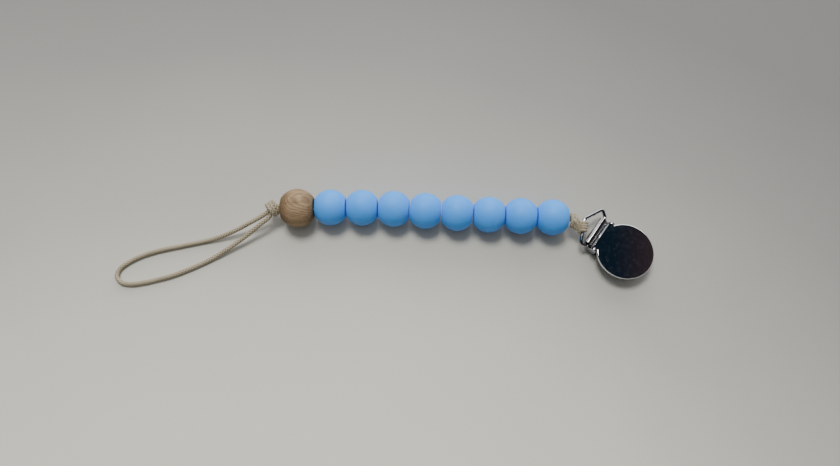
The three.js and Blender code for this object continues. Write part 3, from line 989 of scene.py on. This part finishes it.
def make_body():
    plate = [(plate_rear, -ear_outer), (ear_front, -ear_outer), (waist_rear, -plate_half)]
    plate += arc(plate_front - plate_corner, plate_corner - plate_half, plate_corner, -90, 0, 12)
    plate += arc(plate_front - plate_corner, plate_half - plate_corner, plate_corner, 0, 90, 12)
    plate += [(waist_rear, plate_half), (ear_front, ear_outer), (plate_rear, ear_outer)]
    curl_start, curl_end = curl_angles
    curl = arc(curl_x, curl_z, curl_outer, curl_start, curl_end, 40)
    curl += [(plate_rear, 0), (plate_rear + curl_foot, 0), (plate_rear + curl_foot, plate_sheet),
             (plate_rear + curl_foot_inner, plate_sheet)]
    curl += arc(curl_x, curl_z, curl_outer - curl_sheet, curl_end, curl_start, 34)
    ear = [(ear_rear, 0), (ear_front, 0)]
    ear += arc(pin_x, pin_z, ear_radius, 0, 130, 14)
    ear += [(ear_rear, ear_height)]
    lug_hole = lug_radius + lug_clearance
    body = combine(prism(plate, 0, plate_sheet, "XY"), [
        ("UNION", prism(curl, curl_aside - curl_half, curl_aside + curl_half, "XZ")),
        ("UNION", prism(ear, ear_inner, ear_outer, "XZ")),
        ("UNION", prism(ear, -ear_outer, -ear_inner, "XZ")),
        ("DIFFERENCE", rod(pin_hole, pin_x, pin_z, -right_across, right_across)),
        ("DIFFERENCE", rod(lug_hole, *jaw_hinge, -ear_outer - beyond, lug_overlap - ear_inner, 24)),
        ("DIFFERENCE", rod(lug_hole, *jaw_hinge, ear_inner - lug_overlap, ear_outer + beyond, 24)),
    ])
    finish_metal(body, "bent_body", chrome, "clip", "clip_body", bevel=0.09, shift=body_offset)


def make_pin():
    inside = ear_outer + pin_head_gap
    outside = inside + pin_head_height
    dome = [(0, outside), (0.4, outside - 0.02), (0.7, outside - 0.08), (0.95, outside - 0.2),
            (pin_head, inside + 0.2), (pin_head, inside), (pin_radius, inside)]
    profile = [(reach, -height) for reach, height in dome] + dome[::-1]
    vertices, faces = lathe(profile, 40)
    turn = Matrix.Rotation(-math.pi / 2, 3, "X")
    middle = Vector((pin_x, 0, pin_z))
    pin = loose(([tuple(turn @ Vector(point) + middle) for point in vertices], faces))
    finish_metal(pin, "rivet_pin", chrome, "clip", "hinge_pin", bevel=0.04, shift=body_offset)


def make_jaw():
    x, z = jaw_hinge
    side = [(x, jaw_low), (jaw_start, jaw_low), (jaw_end, jaw_high), (jaw_tip, jaw_high),
            (jaw_tip, jaw_high + jaw_sheet), (jaw_end - jaw_bend, jaw_high + jaw_sheet),
            (jaw_start - jaw_bend, jaw_low + jaw_sheet), (x, jaw_low + jaw_sheet)]
    steps = [
        ("UNION", block(x, jaw_start - 0.3, -jaw_rear_half, jaw_rear_half, jaw_low, jaw_low + jaw_sheet)),
        ("UNION", rod(jaw_tube, x, z, -jaw_rear_half - 0.1, jaw_rear_half + 0.1)),
        ("UNION", rod(lug_radius, x, z, -ear_outer, ear_outer, 24)),
    ]
    cut_x, cut_y = tip_cut_middle
    for way in (1, -1):
        square = [(cut_x, way * (cut_y - tip_cut_reach)), (cut_x + tip_cut_reach, way * cut_y),
                  (cut_x, way * (cut_y + tip_cut_reach)), (cut_x - tip_cut_reach, way * cut_y)]
        steps.append(("DIFFERENCE", prism(square, jaw_high - beyond, jaw_high + jaw_sheet + beyond, "XY")))
    jaw = combine(prism(side, -jaw_half, jaw_half, "XZ"), steps)
    finish_metal(jaw, "sprung_jaw", spring_steel, "jaw", "spring_jaw", bevel=0.08,
                 shift=body_offset)


def make_pad(name, body, node, x_low, x_high, back, thickness, up):
    """A grip pad from x_low to x_high. Its back is at height back, its ribs point up (1) or down (-1)."""
    face = back + up * thickness
    step = (x_high - x_low) / pad_ribs
    outline = [(x_low, back)]
    for rib in range(pad_ribs):
        outline += [(x_low + rib * step, face), (x_low + (rib + 0.5) * step, face + up * pad_rib_height)]
    outline += [(x_high, face), (x_high, back)]
    pad = loose(prism(outline, -pad_half, pad_half, "XZ"))
    finish_metal(pad, name, grip_plastic, body, node, bevel=0.07, shift=body_offset)


make_cover()
make_body()
make_pin()
make_jaw()
make_pad("fixed_pad", "clip", "rear_pad", 0.6, 8, back=plate_sheet + pad_gap, thickness=0.9, up=1)
make_pad("moving_pad", "jaw", "front_pad", 0.6, 7.8, back=jaw_high - pad_gap, thickness=0.8, up=-1)


# ---- floor ----
floor_half = 4000
floor_drop = 0.00002
# metres: painted light and shade: the table is painted palest in front of the string, as a pool of light,
# and painted darker beyond it, to the right and far from its middle, as the light falls off
floor_middle = (-0.085, -0.02)
painted_floor_light = (-0.1, 0.5)
painted_light_slant = 0.34
painted_far_shade = 0.27
floor_far_square = 0.08
floor_clouds = 0.03


def make_floor():
    corners = [(-floor_half, -floor_half, 0), (floor_half, -floor_half, 0),
               (floor_half, floor_half, 0), (-floor_half, floor_half, 0)]
    floor = mesh_object("floor", corners, [(0, 1, 2, 3)], smooth=False)
    table = Surface("floor")
    x, y, _ = table.split(table.place())
    squares = []
    for place, middle in zip((x, y), floor_middle):
        away = table.math("SUBTRACT", place, middle)
        squares.append(table.math("MULTIPLY", away, away))
    square = table.math("ADD", *squares)
    far = table.math("DIVIDE", square, table.math("ADD", square, floor_far_square))
    cloud = table.centred(table.noise(table.place(), 14, detail=3))
    shade = table.weigh((x, painted_light_slant), (y, 1), (far, painted_far_shade), (cloud, floor_clouds))
    # painted light and shade: the table's colour runs from pale to dark as the painted shade grows
    table.drive("Base Color", table.ramp(table.remap(shade, 0.0, 1.0, *painted_floor_light), [
        (0.0, linear(211, 208, 196)), (0.08, linear(197, 195, 184)), (0.17, linear(173, 172, 164)),
        (0.34, linear(141, 140, 136)), (0.5, linear(121, 120, 117)), (1.0, linear(106, 105, 103)),
    ]))
    grain = table.noise(table.place(), 1100, detail=3, roughness=0.6)
    table.drive("Normal", table.bump(grain, distance=0.00012, strength=0.3))
    table.set(Roughness=0.75)
    paint(floor, table.material)
    floor.location.z = -floor_drop


make_floor()


# ---- light ----
def grey(level):
    return (level, level, level)


# the room's light by the direction's height, depth and side: bright beyond the string, dark overhead
# and on the near side, and browner overhead on the right
room_by_height = [(0.0, (0.8, 0.81, 0.83)), (0.35, (0.7, 0.71, 0.73)), (0.62, (0.16, 0.17, 0.19)),
                  (0.76, grey(0))]
room_by_depth = [(0.0, grey(0.14)), (0.25, grey(0.35)), (0.6, grey(1)), (0.9, grey(1.7))]
room_by_side = [(0.2, grey(0.3)), (0.5, grey(1)), (0.75, grey(1.25))]
overhead = [(0.55, grey(0)), (0.8, grey(1))]
overhead_by_side = [(0.645, (0.0045, 0.0125, 0.022)), (0.6875, (0.055, 0.029, 0.03))]


def make_world():
    world = bpy.data.worlds.new("studio")
    bpy.context.scene.world = world
    world.use_nodes = True
    room = Nodes(world.node_tree)
    direction = room.add("ShaderNodeTexCoord").outputs["Generated"]
    # X then runs from 0 on the left to 1 on the right
    x, y, z = room.split(room.map(direction, scale=(0.5, 1, 1), location=(0.5, 0, 0)))
    band = room.mix("MULTIPLY", room.ramp(z, room_by_height), room.ramp(y, room_by_depth))
    band = room.mix("MULTIPLY", band, room.ramp(x, room_by_side))
    above = room.mix("MULTIPLY", room.ramp(z, overhead), room.ramp(x, overhead_by_side))
    background = world.node_tree.nodes["Background"]
    room.link(room.mix("ADD", band, above), background.inputs["Color"])
    background.inputs["Strength"].default_value = 1.0


light_target = (-0.09, 0.0, 0.0)


def area_light(name, location, size, power, color):
    data = bpy.data.lights.new(name, "AREA")
    data.shape = "RECTANGLE"
    data.size, data.size_y = size
    data.energy = power
    data.color = color
    light = bpy.data.objects.new(name, data)
    light.location = location
    light.rotation_euler = aim(location, light_target)
    bpy.context.scene.collection.objects.link(light)
    return light


def make_lights():
    area_light("key", (-0.3, 0.76, 1.9), size=(0.75, 0.6), power=37, color=(1.0, 0.985, 0.96))
    fill = area_light("fill", (-0.09, 0.1, 1.6), size=(2.6, 2.6), power=16, color=(0.97, 0.985, 1.0))
    fill.visible_glossy = False
    area_light("window", (0.2, 1.3, 0.7), size=(2.0, 0.8), power=12, color=(1.0, 1.0, 1.0))


make_world()
make_lights()
